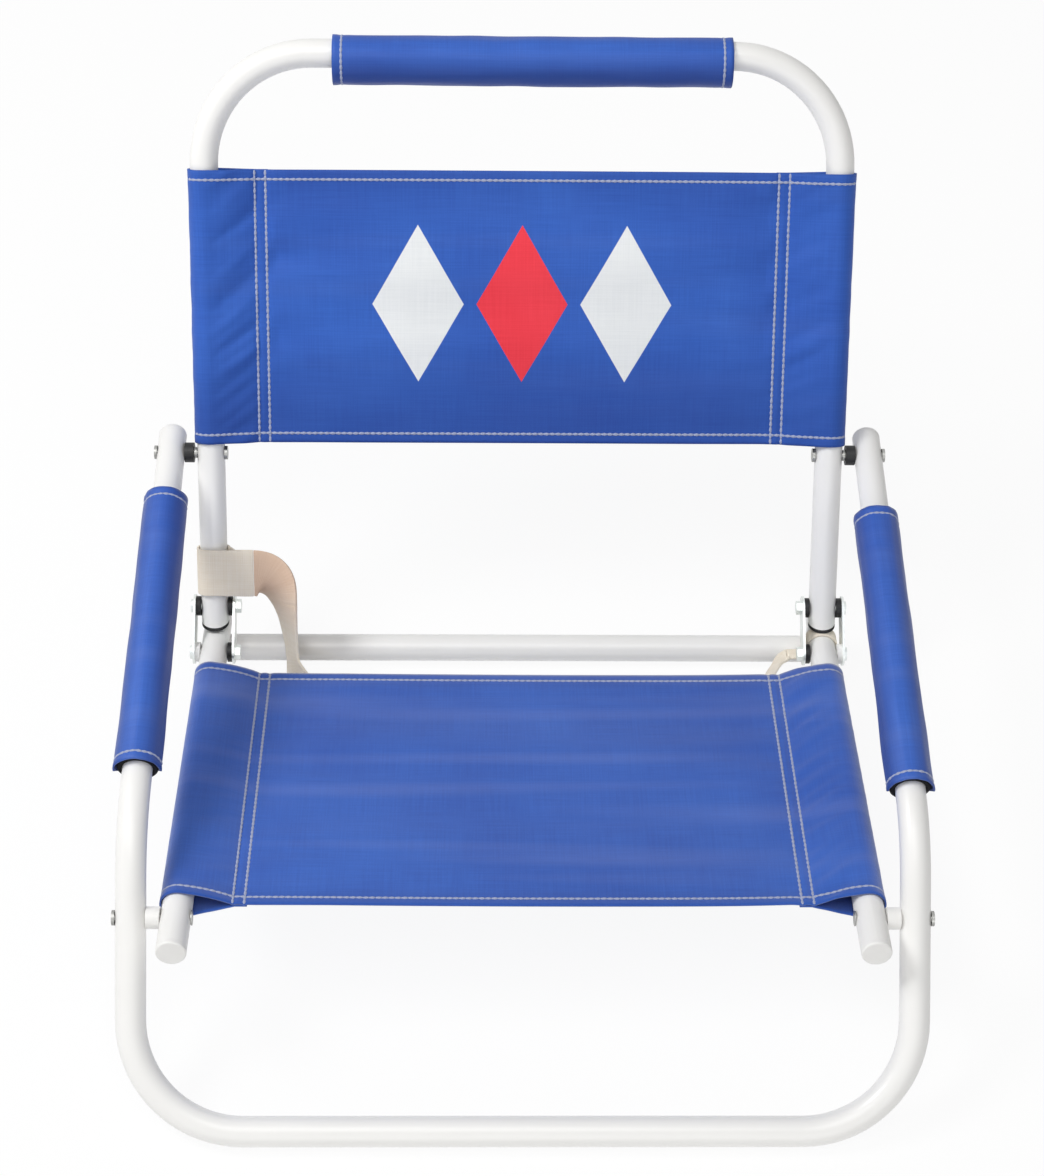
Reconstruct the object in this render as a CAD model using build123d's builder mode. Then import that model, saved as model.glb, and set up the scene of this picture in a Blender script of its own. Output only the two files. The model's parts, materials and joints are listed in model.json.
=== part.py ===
from build123d import *
import os
from math import acos, atan2, cos, hypot, pi, radians, sin

# Low folding beach chair: a bent arm-and-leg loop, a back frame and a seat frame of one steel
# tube size, joined by rivets and by a pair of two-pivot hinge links behind the seat.
# Sizes are in millimetres. X is across the chair, Y runs from front to back, Z is up.

# Tube
tube_dia = 22.0
tube_wall = 1.2

# Plan
overall_width = 582.0
pivot_gap = 10.0  # air between an arm tube and the tube it is pivoted to

# Arm and leg loop
leg_length = 153.0  # front floor bar to seat pivot, along the leg
leg_angle = 40.85  # leg above the floor, degrees
leg_corner_radius = 80.0
arm_bend_radius = 100.0
arm_chord = 406.0  # seat pivot to back pivot
arm_chord_angle = 7.4
arm_slope = 2.0
arm_tail = 15.0  # arm tube behind the back pivot
arm_cap_length = 9.0

# Back frame
back_recline = 35.4  # back behind upright, degrees
back_lower = 127.5  # back pivot down to upper hinge pivot
back_upper = 313.5  # back pivot up to the top bar
back_corner_radius = 85.0
foot_gap = 2.4  # back foot above the top of the seat tube below it
foot_flange = 2.5
foot_shank = 4.5  # top of a foot plug below the upper hinge pivot

# Seat frame and hinge links
link_length = 38.0
link_tilt = 31.0
seat_front_stub = 31.0  # seat tube ahead of the seat pivot
floor_bar_saddle = 0.5  # depth of the saddle where the rear floor bar meets a seat tube
seat_tail = 9.0  # seat tube behind the rear floor bar
floor_bar_overhang = 6.0  # rear floor bar outside the middle of a seat tube

# Tube plugs
plug_clearance = 0.1
plug_flange = 1.5
plug_depth = 5.0
seat_cap_flange = 4.5
seat_cap_depth = 12.0
cap_edge = 1.4

# Rivets, bolts, washers and hinge plates
rivet_dia = 6.0
rivet_head_dia = 11.0
rivet_head = 2.2
rivet_tail = 0.8  # the seat rivets are hammered almost flat inside the chair
running_clearance = 0.05
seat_clearance = 0.1  # plain gap between pieces that rub
spacer_dia = 16.0
open_pivot_gap = 0.3
rivet_collar_dia = 9.0
rivet_collar = 2.2
washer = 4.0
washer_dia = 16.0
plate = 1.8
plate_end_dia = 19.0
bolt_head = 2.4
bolt_head_dia = 11.0
nut_width = 10.0
nut = 4.5

# Foam and cloth sleeves
cloth = 1.2
foam_recess = 6.0  # foam stops short of each end of its sleeve
arm_sleeve_dia = 35.2
arm_sleeve_length = 255.0
arm_sleeve_start_left = 50.0  # the sleeves slide, and the two sit differently
arm_sleeve_start_right = 66.0
headrest_dia = 38.6
headrest_drop = 6.3  # the padded sleeve hangs below the middle of the top bar
headrest_length = 308.0
headrest_shift = 7.0

# Slings
pocket_clearance = 0.4
pocket_inset = 49.5  # cut edge of a pocket inside the middle of its tube, and level with it
pocket_tip = 9.0  # sewn-down stretch outside that edge, two layers thick
seat_sling_front = 12.5  # behind the seat pivot
seat_sling_length = 263.0
seat_sag = 1.5
back_sling_bottom = 9.0  # above the back pivot
back_sling_length = 216.0
back_sag = 1.5

# Carry strap
strap_width = 38.0
strap_thickness = 1.8
loop_clearance = 0.3
loop_layers = 2  # the webbing is doubled where it is sewn into the left loop
loop_rise = 12.0  # left loop above the upper hinge pivot, on the back tube
loop_tail = 33.0  # doubled webbing from the middle of the back tube inwards
slipped_width = 12.0  # the right loop is bunched up on the seat tube, under the foot of the back
slipped_back = 8.6  # right loop behind the lower hinge pivot
slipped_tail = 27.0

# Worked out from the sizes above
tube_radius = tube_dia / 2
bore_radius = tube_radius - tube_wall
arm_x = overall_width / 2 - tube_radius
side_x = arm_x - tube_dia - pivot_gap
rivet_radius = rivet_dia / 2
pin_hole = rivet_radius + running_clearance
arm_sleeve_radius = arm_sleeve_dia / 2
headrest_radius = headrest_dia / 2
pocket_inner = tube_radius + pocket_clearance
pocket_outer = pocket_inner + cloth


def heading(angle):
    return (cos(radians(angle)), sin(radians(angle)))


def along(start, direction, distance):
    return (start[0] + direction[0] * distance, start[1] + direction[1] * distance)


# Side view: depth behind the front floor bar, then height above the floor
leg_dir = heading(leg_angle)
arm_dir = heading(arm_slope)
back_dir = heading(90 - back_recline)
link_dir = heading(link_tilt)
front_bar = (0.0, tube_radius)
seat_pivot = along(front_bar, leg_dir, leg_length)
back_pivot = along(seat_pivot, heading(arm_chord_angle), arm_chord)
upper_hinge = along(back_pivot, back_dir, -back_lower)
top_bar = along(back_pivot, back_dir, back_upper)
lower_hinge = along(upper_hinge, link_dir, -link_length)
seat_run = (lower_hinge[0] - seat_pivot[0], lower_hinge[1] - seat_pivot[1])
seat_length = hypot(*seat_run)
seat_dir = (seat_run[0] / seat_length, seat_run[1] / seat_length)
seat_up = (-seat_dir[1], seat_dir[0])
back_front = (-back_dir[1], back_dir[0])

# Where the leg line and the arm line cross, before the bend
bend_turn = sin(radians(leg_angle - arm_slope))
bar_to_arm = (back_pivot[0] - front_bar[0], back_pivot[1] - front_bar[1])
bend_distance = (bar_to_arm[1] * arm_dir[0] - bar_to_arm[0] * arm_dir[1]) / bend_turn
arm_bend = along(front_bar, leg_dir, bend_distance)

# The rear floor bar lies on the floor, under the seat tubes
floor_bar_drop = tube_dia - floor_bar_saddle
floor_bar_back = (lower_hinge[1] - floor_bar_drop * seat_up[1] - tube_radius) / -seat_dir[1]
floor_bar = along(along(lower_hinge, seat_dir, floor_bar_back), seat_up, -floor_bar_drop)
seat_tail_end = floor_bar_back + seat_tail

# The origin is on the floor, in the middle of the chair's depth
depth_middle = (top_bar[0] + headrest_radius - tube_radius) / 2


def place(x, point):
    return Vector(x, point[0] - depth_middle, point[1])


def turn(direction):
    return Vector(0, direction[0], direction[1])


def save(piece, name):
    piece.part.label = name
    export_step(piece.part, f"parts/{name}.step")


def cross_axis(point):
    return Plane(origin=place(0, point), z_dir=(1, 0, 0))


def side_plane(x, point):
    return Plane(origin=place(x, point), z_dir=(1, 0, 0))


os.makedirs("parts", exist_ok=True)

# Arm and leg loop: one bent tube, from arm end to arm end round the front floor bar
loop_end = along(back_pivot, arm_dir, arm_tail)
loop_points = [
    place(-arm_x, loop_end),
    place(-arm_x, arm_bend),
    place(-arm_x, front_bar),
    place(arm_x, front_bar),
    place(arm_x, arm_bend),
    place(arm_x, loop_end),
]
loop_radii = [arm_bend_radius, leg_corner_radius, leg_corner_radius, arm_bend_radius]
with BuildPart() as arm_loop:
    with BuildLine() as loop_path:
        FilletPolyline(*loop_points, radius=loop_radii)
    with BuildSketch(Plane(origin=loop_points[0], z_dir=loop_path.line % 0)):
        Circle(tube_radius)
        Circle(bore_radius, mode=Mode.SUBTRACT)
    sweep()
    with Locations(cross_axis(seat_pivot), cross_axis(back_pivot)):
        Cylinder(pin_hole, overall_width + tube_dia, mode=Mode.SUBTRACT)
save(arm_loop, "arm_loop")

# Back frame: one tube bent round the top, with its feet cut level with the seat tubes
foot_rest = Plane(
    origin=place(0, along(lower_hinge, seat_up, tube_radius + foot_gap)), z_dir=turn(seat_up)
)
foot_cut = foot_rest.offset(foot_flange)
foot_end = along(upper_hinge, back_dir, -link_length)
back_points = [
    place(-side_x, foot_end),
    place(-side_x, top_bar),
    place(side_x, top_bar),
    place(side_x, foot_end),
]
with BuildPart() as back_frame:
    with BuildLine() as back_path:
        FilletPolyline(*back_points, radius=back_corner_radius)
    with BuildSketch(Plane(origin=back_points[0], z_dir=back_path.line % 0)):
        Circle(tube_radius)
        Circle(bore_radius, mode=Mode.SUBTRACT)
    sweep()
    split(bisect_by=foot_cut, keep=Keep.TOP)
    with Locations(cross_axis(back_pivot), cross_axis(upper_hinge)):
        Cylinder(pin_hole, overall_width, mode=Mode.SUBTRACT)
save(back_frame, "back_frame")

# Seat tubes
seat_front = along(seat_pivot, seat_dir, -seat_front_stub)
seat_tube_length = seat_front_stub + seat_length + seat_tail_end
seat_back = along(seat_front, seat_dir, seat_tube_length)
for side, sign in (("left", -1), ("right", 1)):
    with BuildPart() as seat_tube:
        with BuildSketch(Plane(origin=place(sign * side_x, seat_front), z_dir=turn(seat_dir))):
            Circle(tube_radius)
            Circle(bore_radius, mode=Mode.SUBTRACT)
        extrude(amount=seat_tube_length)
        with Locations(cross_axis(seat_pivot), cross_axis(lower_hinge)):
            Cylinder(pin_hole, overall_width, mode=Mode.SUBTRACT)
    save(seat_tube, f"seat_tube_{side}")

# Rear floor bar, saddled and welded under the seat tubes
floor_bar_half = side_x + floor_bar_overhang
with BuildPart() as rear_floor_bar:
    with BuildSketch(side_plane(-floor_bar_half, floor_bar)):
        Circle(tube_radius)
        Circle(bore_radius, mode=Mode.SUBTRACT)
    extrude(amount=2 * floor_bar_half)
    for sign in (-1, 1):
        saddle = Plane(origin=place(sign * side_x, seat_front), z_dir=turn(seat_dir))
        with BuildSketch(saddle):
            Circle(tube_radius + running_clearance)
        extrude(amount=seat_tube_length, mode=Mode.SUBTRACT)
save(rear_floor_bar, "rear_floor_bar")


def tube_plug(end, outward, flange, depth, edge):
    with BuildPart() as plug:
        with BuildSketch(Plane(origin=end, z_dir=outward)):
            Circle(tube_radius)
        extrude(amount=flange)
        rim = plug.edges().sort_by(lambda e: (e.center() - end).dot(outward))[-1]
        fillet(rim, edge)
        with BuildSketch(Plane(origin=end, z_dir=outward)):
            Circle(bore_radius - plug_clearance)
        extrude(amount=-depth)
    return plug


# End caps and plugs
for side, sign in (("left", -1), ("right", 1)):
    arm_cap = tube_plug(
        place(sign * arm_x, loop_end), turn(arm_dir), arm_cap_length, plug_depth, 0.7 * arm_cap_length
    )
    save(arm_cap, f"arm_end_cap_{side}")
    seat_cap = tube_plug(
        place(sign * side_x, seat_front), -turn(seat_dir), seat_cap_flange, seat_cap_depth, cap_edge
    )
    save(seat_cap, f"seat_front_cap_{side}")
    seat_plug = tube_plug(
        place(sign * side_x, seat_back), turn(seat_dir), plug_flange, plug_depth, plug_flange / 2
    )
    save(seat_plug, f"seat_rear_plug_{side}")
    foot_axis = Plane(origin=place(sign * side_x, upper_hinge), z_dir=-turn(back_dir))
    with BuildPart() as foot_plug:
        with BuildSketch(foot_axis):
            Circle(tube_radius)
        extrude(amount=link_length)
        split(bisect_by=foot_cut, keep=Keep.BOTTOM)
        with BuildSketch(foot_axis.offset(foot_shank)):
            Circle(bore_radius - plug_clearance)
        extrude(amount=link_length - foot_shank)
        split(bisect_by=foot_rest, keep=Keep.TOP)
    save(foot_plug, f"back_foot_plug_{side}")
    bar_plug = tube_plug(
        place(sign * floor_bar_half, floor_bar), Vector(sign, 0, 0), plug_flange, plug_depth, plug_flange / 2
    )
    save(bar_plug, f"floor_bar_plug_{side}")


def cross_disc(x_from, x_to, point, outer, inner=0.0):
    with Locations(side_plane((x_from + x_to) / 2, point)):
        Cylinder(outer, abs(x_to - x_from))
        if inner > 0:
            Cylinder(inner, abs(x_to - x_from), mode=Mode.SUBTRACT)


arm_inner = arm_x - tube_radius
arm_outer = arm_x + tube_radius
side_inner = side_x - tube_radius
side_outer = side_x + tube_radius
collar_end = side_outer + rivet_collar
head_start = arm_outer + seat_clearance
spacer_start = collar_end + open_pivot_gap

# Seat pivots: a rivet through seat tube and leg on each side, with a spacer between
with BuildPart() as seat_pivot_rivets:
    for sign in (-1, 1):
        cross_disc(sign * side_inner, sign * head_start, seat_pivot, rivet_radius)
        cross_disc(sign * head_start, sign * (head_start + rivet_head), seat_pivot, rivet_head_dia / 2)
        cross_disc(sign * side_inner, sign * (side_inner - rivet_tail), seat_pivot, rivet_head_dia / 2)
save(seat_pivot_rivets, "seat_pivot_rivets")
with BuildPart() as seat_pivot_spacers:
    for sign in (-1, 1):
        cross_disc(
            sign * (side_outer + seat_clearance),
            sign * (arm_inner - seat_clearance),
            seat_pivot,
            spacer_dia / 2,
            pin_hole,
        )
save(seat_pivot_spacers, "seat_pivot_spacers")

# Back pivots: the rivet is in two halves that meet between spacer and collar
with BuildPart() as arm_pivot_rivets:
    for sign in (-1, 1):
        cross_disc(sign * spacer_start, sign * arm_outer, back_pivot, rivet_radius)
        cross_disc(sign * arm_outer, sign * (arm_outer + rivet_head), back_pivot, rivet_head_dia / 2)
save(arm_pivot_rivets, "arm_pivot_rivets")
with BuildPart() as arm_pivot_spacers:
    for sign in (-1, 1):
        cross_disc(
            sign * spacer_start, sign * (arm_inner - seat_clearance), back_pivot, spacer_dia / 2, pin_hole
        )
save(arm_pivot_spacers, "arm_pivot_spacers")
with BuildPart() as back_pivot_rivets:
    for sign in (-1, 1):
        cross_disc(sign * side_inner, sign * collar_end, back_pivot, rivet_radius)
        cross_disc(sign * (side_outer + seat_clearance), sign * collar_end, back_pivot, rivet_collar_dia / 2)
        cross_disc(sign * side_inner, sign * (side_inner - rivet_head), back_pivot, rivet_head_dia / 2)
save(back_pivot_rivets, "back_pivot_rivets")

# Hinge links: a plate on each side of the tubes, washers, and a bolt and nut at each pivot
washer_start = tube_radius + seat_clearance
plate_start = washer_start + washer
plate_end = plate_start + plate
link_middle = along(lower_hinge, link_dir, link_length / 2)
for side, sign in (("left", -1), ("right", 1)):
    for face, out in (("inner", -1), ("outer", 1)):
        plate_from = sign * (side_x + out * plate_start)
        plate_to = sign * (side_x + out * plate_end)
        plate_plane = Plane(
            origin=place(min(plate_from, plate_to), link_middle), x_dir=turn(link_dir), z_dir=(1, 0, 0)
        )
        with BuildPart() as hinge_plate:
            with BuildSketch(plate_plane):
                SlotCenterToCenter(link_length, plate_end_dia)
                with Locations((-link_length / 2, 0), (link_length / 2, 0)):
                    Circle(pin_hole, mode=Mode.SUBTRACT)
            extrude(amount=plate)
        save(hinge_plate, f"hinge_plate_{side}_{face}")
washer_groups = (
    ("upper_hinge_washers", upper_hinge, (-1, 1)),
    ("lower_hinge_inner_washers", lower_hinge, (-1,)),
    ("lower_hinge_outer_washers", lower_hinge, (1,)),
)
for name, pivot, faces in washer_groups:
    with BuildPart() as hinge_washers:
        for sign in (-1, 1):
            for out in faces:
                cross_disc(
                    sign * (side_x + out * washer_start),
                    sign * (side_x + out * plate_start),
                    pivot,
                    washer_dia / 2,
                    pin_hole,
                )
    save(hinge_washers, name)
for level, pivot in (("upper", upper_hinge), ("lower", lower_hinge)):
    with BuildPart() as hinge_bolts:
        for sign in (-1, 1):
            cross_disc(sign * (side_x - plate_end - nut), sign * (side_x + plate_end), pivot, rivet_radius)
            cross_disc(
                sign * (side_x + plate_end), sign * (side_x + plate_end + bolt_head), pivot, bolt_head_dia / 2
            )
    save(hinge_bolts, f"{level}_hinge_bolts")
    with BuildPart() as hinge_nuts:
        for sign in (-1, 1):
            nut_from = sign * (side_x - plate_end)
            nut_to = sign * (side_x - plate_end - nut)
            with BuildSketch(side_plane(min(nut_from, nut_to), pivot)):
                RegularPolygon(nut_width / 2, 6, major_radius=False)
                Circle(pin_hole, mode=Mode.SUBTRACT)
            extrude(amount=nut)
    save(hinge_nuts, f"{level}_hinge_nuts")


def sleeve(plane, length, inner, outer):
    with BuildPart() as tube:
        with BuildSketch(plane):
            Circle(outer)
            Circle(inner, mode=Mode.SUBTRACT)
        extrude(amount=length)
    return tube


# Foam and cloth on the arms and on the top bar
foam_inner = tube_radius + seat_clearance
for side, sign, start in (("left", -1, arm_sleeve_start_left), ("right", 1, arm_sleeve_start_right)):
    sleeve_plane = Plane(
        origin=place(sign * arm_x, along(back_pivot, arm_dir, -start)), z_dir=-turn(arm_dir)
    )
    cloth_inner = arm_sleeve_radius - cloth
    arm_sleeve = sleeve(sleeve_plane, arm_sleeve_length, cloth_inner, arm_sleeve_radius)
    save(arm_sleeve, f"arm_sleeve_{side}")
    arm_foam = sleeve(
        sleeve_plane.offset(foam_recess),
        arm_sleeve_length - 2 * foam_recess,
        foam_inner,
        cloth_inner - seat_clearance,
    )
    save(arm_foam, f"arm_foam_{side}")
headrest_plane = side_plane(headrest_shift - headrest_length / 2, (top_bar[0], top_bar[1] - headrest_drop))
headrest_inner = headrest_radius - cloth
headrest_sleeve = sleeve(headrest_plane, headrest_length, headrest_inner, headrest_radius)
save(headrest_sleeve, "headrest_sleeve")
with BuildPart() as headrest_foam:
    with BuildSketch(headrest_plane.offset(foam_recess)):
        Circle(headrest_inner - seat_clearance)
    extrude(amount=headrest_length - 2 * foam_recess)
    with Locations(cross_axis(top_bar)):
        Cylinder(foam_inner, overall_width, mode=Mode.SUBTRACT)
save(headrest_foam, "headrest_foam")


def tangent_point(radius, inset, rise):
    # Where a line from the seam touches the top of a pocket, from the middle of its tube
    spread = acos(radius / hypot(inset, rise))
    touch = atan2(rise, -inset) - spread
    return (radius * cos(touch), radius * sin(touch))


def sling(plane, length, sag):
    # A stretched sheet whose two sides are turned round the tubes and sewn down as pockets
    edge_x = side_x - pocket_inset
    parting = pocket_inset - pocket_tip
    with BuildPart() as cloth_sheet:
        with BuildSketch(plane):
            for sign in (-1, 1):
                with Locations((sign * (edge_x + pocket_tip / 2), 0)):
                    Rectangle(pocket_tip, 2 * cloth)
            for radius, rise, mode in ((pocket_outer, cloth, Mode.ADD), (pocket_inner, cloth / 8, Mode.SUBTRACT)):
                touch = tangent_point(radius, parting, rise)
                for sign in (-1, 1):
                    upper = (sign * (side_x + touch[0]), touch[1])
                    lower = (sign * (side_x + touch[0]), -touch[1])
                    with BuildLine():
                        Line((sign * (side_x - parting), rise), upper)
                        ThreePointArc(upper, (sign * (side_x + radius), 0), lower)
                        Line(lower, (sign * (side_x - parting), -rise))
                        Line((sign * (side_x - parting), -rise), (sign * (side_x - parting), rise))
                    make_face(mode=mode)
            with BuildLine():
                ThreePointArc((-edge_x, cloth), (0, cloth - sag), (edge_x, cloth))
                Line((edge_x, cloth), (edge_x, 0))
                ThreePointArc((edge_x, 0), (0, -sag), (-edge_x, 0))
                Line((-edge_x, 0), (-edge_x, cloth))
            make_face()
        extrude(amount=length)
    return cloth_sheet


seat_sling_start = place(0, along(seat_pivot, seat_dir, seat_sling_front))
seat_sling = sling(
    Plane(origin=seat_sling_start, x_dir=(-1, 0, 0), z_dir=turn(seat_dir)), seat_sling_length, seat_sag
)
save(seat_sling, "seat_sling")
back_sling_start = place(0, along(back_pivot, back_dir, back_sling_bottom))
back_sling = sling(
    Plane(origin=back_sling_start, x_dir=(-1, 0, 0), z_dir=turn(back_dir)), back_sling_length, back_sag
)
save(back_sling, "back_sling")

# Carry strap loops: the left one is doubled webbing round the back tube above the hinge, and the
# right one has slipped down and is bunched up round the seat tube. Each has a tail sewn on.
loop_inner = tube_radius + loop_clearance
left_start = along(upper_hinge, back_dir, loop_rise)
right_start = along(lower_hinge, seat_dir, slipped_back)
loops = (
    ("left", -1, left_start, back_dir, back_front, strap_width, loop_layers, loop_tail),
    ("right", 1, right_start, seat_dir, (-seat_up[0], -seat_up[1]), slipped_width, 1, slipped_tail),
)
strap_ends = []
for side, sign, start, tube_dir, tail_dir, width, layers, tail in loops:
    loop_outer = loop_inner + layers * strap_thickness
    loop_middle = (loop_inner + loop_outer) / 2
    loop_plane = Plane(origin=place(sign * side_x, start), x_dir=(-sign, 0, 0), z_dir=turn(tube_dir))
    with BuildPart() as strap_loop:
        with BuildSketch(loop_plane):
            Circle(loop_outer)
            with Locations((tail / 2, -loop_middle)):
                Rectangle(tail, loop_outer - loop_inner)
            Circle(loop_inner, mode=Mode.SUBTRACT)
        extrude(amount=width)
    save(strap_loop, f"strap_loop_{side}")
    tail_middle = along(along(start, tube_dir, width / 2), tail_dir, loop_middle)
    strap_ends.append(place(sign * (side_x - tail - loop_clearance), tail_middle))

# Free webbing of the carry strap: from the left loop it drops in front of the rear floor bar,
# lies in a loose curve on the floor under the seat and rises to the right loop.
# Each point gives its place across, in depth and in height, how far the band is rolled from
# lying flat, in degrees, and its width.
seat_roll = -acos(seat_dir[0]) * 180 / pi
strap_route = [
    (-206, 451.7, 92, 55, strap_width),
    (-196, 447, 84, 65, strap_width),
    (-190, 436.5, 66, 75, strap_width),
    (-186.5, 423, 44, 78, strap_width),
    (-184.5, 411, 29, 80, strap_width),
    (-181, 398, 20.5, 70, strap_width),
    (-174, 383, 14, 42, strap_width),
    (-163, 360, 5, 12, strap_width),
    (-146, 328, 1.4, 0, strap_width),
    (-112, 284, 1.4, 0, strap_width),
    (-58, 254, 1.4, 0, strap_width),
    (8, 244, 1.4, 0, strap_width),
    (74, 256, 1.4, 0, strap_width),
    (130, 288, 1.4, 0, strap_width),
    (166, 332, 1.4, 0, strap_width),
    (184, 361, 5, -10, strap_width),
    (196, 385, 12, -36, 0.8 * strap_width),
    (204, 401, 19, -66, 0.6 * strap_width),
    (211, 413, 24, -52, 0.42 * strap_width),
]
strap_points = [place(stop[0], (stop[1], stop[2])) for stop in strap_route]
strap_points = [strap_ends[0], *strap_points, strap_ends[1]]
strap_rolls = [90 - back_recline, *[stop[3] for stop in strap_route], seat_roll]
strap_widths = [strap_width, *[stop[4] for stop in strap_route], slipped_width]
strap_length = 0.0
for start, end in zip(strap_points, strap_points[1:]):
    strap_length += (end - start).length
with BuildPart() as carry_strap:
    for index, point in enumerate(strap_points):
        before = strap_points[max(index - 1, 0)]
        after = strap_points[min(index + 1, len(strap_points) - 1)]
        run = Vector(1, 0, 0) if point in strap_ends else (after - before).normalized()
        flat_edge = Vector(0, 0, 1).cross(run).normalized()
        roll = radians(strap_rolls[index])
        edge = flat_edge * cos(roll) + run.cross(flat_edge) * sin(roll)
        with BuildSketch(Plane(origin=point, x_dir=edge, z_dir=run)):
            Rectangle(strap_widths[index], strap_thickness)
    loft(ruled=True)
save(carry_strap, "carry_strap")
print("free webbing between the loops:", round(strap_length), "mm")
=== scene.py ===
import json
from math import acos, atan2, cos, exp, floor, hypot, pi, radians, sin, sqrt, tau

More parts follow.
